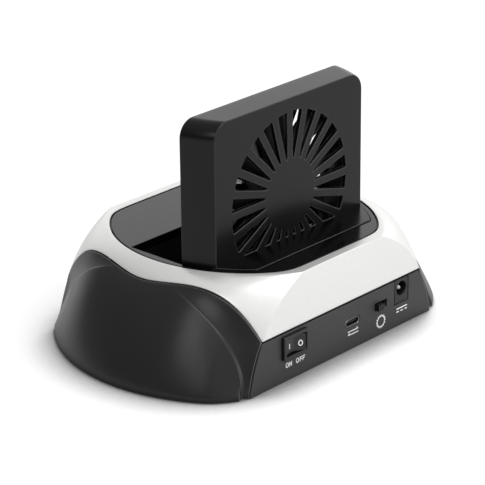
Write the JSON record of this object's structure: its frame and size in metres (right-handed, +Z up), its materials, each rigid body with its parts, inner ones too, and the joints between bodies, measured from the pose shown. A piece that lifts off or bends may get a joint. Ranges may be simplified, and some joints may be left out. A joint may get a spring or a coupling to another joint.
{
  "type": "hard drive docking station",
  "caption": "Oval desktop dock that holds a bare disk drive upright in a top slot, with a fan tower behind the slot and ports on the rear panel.",
  "frame": {"origin": "on the table, under the middle of the oval deck", "axes": "+Z up, +X along the drive slot, +Y from the plain front panel to the rear panel with the ports"},
  "size_m": [0.173, 0.115, 0.1069],
  "materials": {
    "tray_plastic": "fine matte",
    "foot_rubber": "matte",
    "screw_steel": "plated",
    "silver_shell": "satin silver-white",
    "cap_plastic": "semi-gloss",
    "panel_plastic": "fine matte",
    "deck_gloss": "gloss",
    "well_plastic": "matte",
    "fan_plastic": "satin",
    "bushing_bronze": "plain",
    "coil_copper": "enamelled",
    "lead_jacket": "satin",
    "lead_jacket_red": "satin",
    "header_nylon": "satin",
    "board_laminate": "solder mask",
    "socket_plastic": "satin",
    "contact_gold": "plated",
    "can_aluminium": "sleeved",
    "ferrite": "sintered",
    "switch_plastic": "satin",
    "switch_gloss": "gloss",
    "lamp_clear": "clear"
  },
  "bodies": {
    "housing": {"base_tray": "tray_plastic", "rubber_feet": "foot_rubber", "case_screws": "screw_steel", "top_shell": "silver_shell", "side_cap_left": "cap_plastic", "side_cap_right": "cap_plastic", "rear_panel": "panel_plastic", "front_panel": "panel_plastic", "deck_plate": "deck_gloss", "deck_screws": "screw_steel", "drive_well": "well_plastic", "fan_cover": "deck_gloss", "fan_front_grille": "deck_gloss", "fan_frame": "fan_plastic", "fan_bushing": "bushing_bronze", "fan_stator": "coil_copper", "fan_screws": "screw_steel", "fan_lead": "lead_jacket", "fan_header": "header_nylon", "main_board": "board_laminate", "board_screws": "screw_steel", "sata_socket": "socket_plastic", "sata_contacts": "contact_gold", "bridge_chip": "socket_plastic", "capacitors": "can_aluminium", "inductors": "ferrite", "crystal": "screw_steel", "usb_shell": "screw_steel", "usb_tongue": "socket_plastic", "power_jack": "socket_plastic", "power_jack_pin": "screw_steel", "rocker_housing": "switch_plastic", "rocker_terminals": "contact_gold", "switch_leads": "lead_jacket_red", "speed_switch": "screw_steel", "indicator_lamp": "lamp_clear", "light_pipe": "lamp_clear"},
    "rotor": {"fan_rotor": "fan_plastic", "fan_shaft": "screw_steel"},
    "rocker": {"rocker_button": "switch_gloss"},
    "knob": {"speed_knob": "switch_plastic"}
  },
  "joints": [
    {"name": "fan_spin", "type": "hinge", "parent": "housing", "child": "rotor", "pos_m": [0, 0.0195, 0.0646], "axis": [0, 1, 0], "continuous": true},
    {"name": "rocker_tilt", "type": "hinge", "parent": "housing", "child": "rocker", "pos_m": [0.0317, 0.0546, 0.0154], "axis": [0, 0, 1], "range_deg": [0, 20]},
    {"name": "speed_slide", "type": "slide", "parent": "housing", "child": "knob", "axis": [-1, 0, 0], "range_m": [0, 0.0038]}
  ]
}
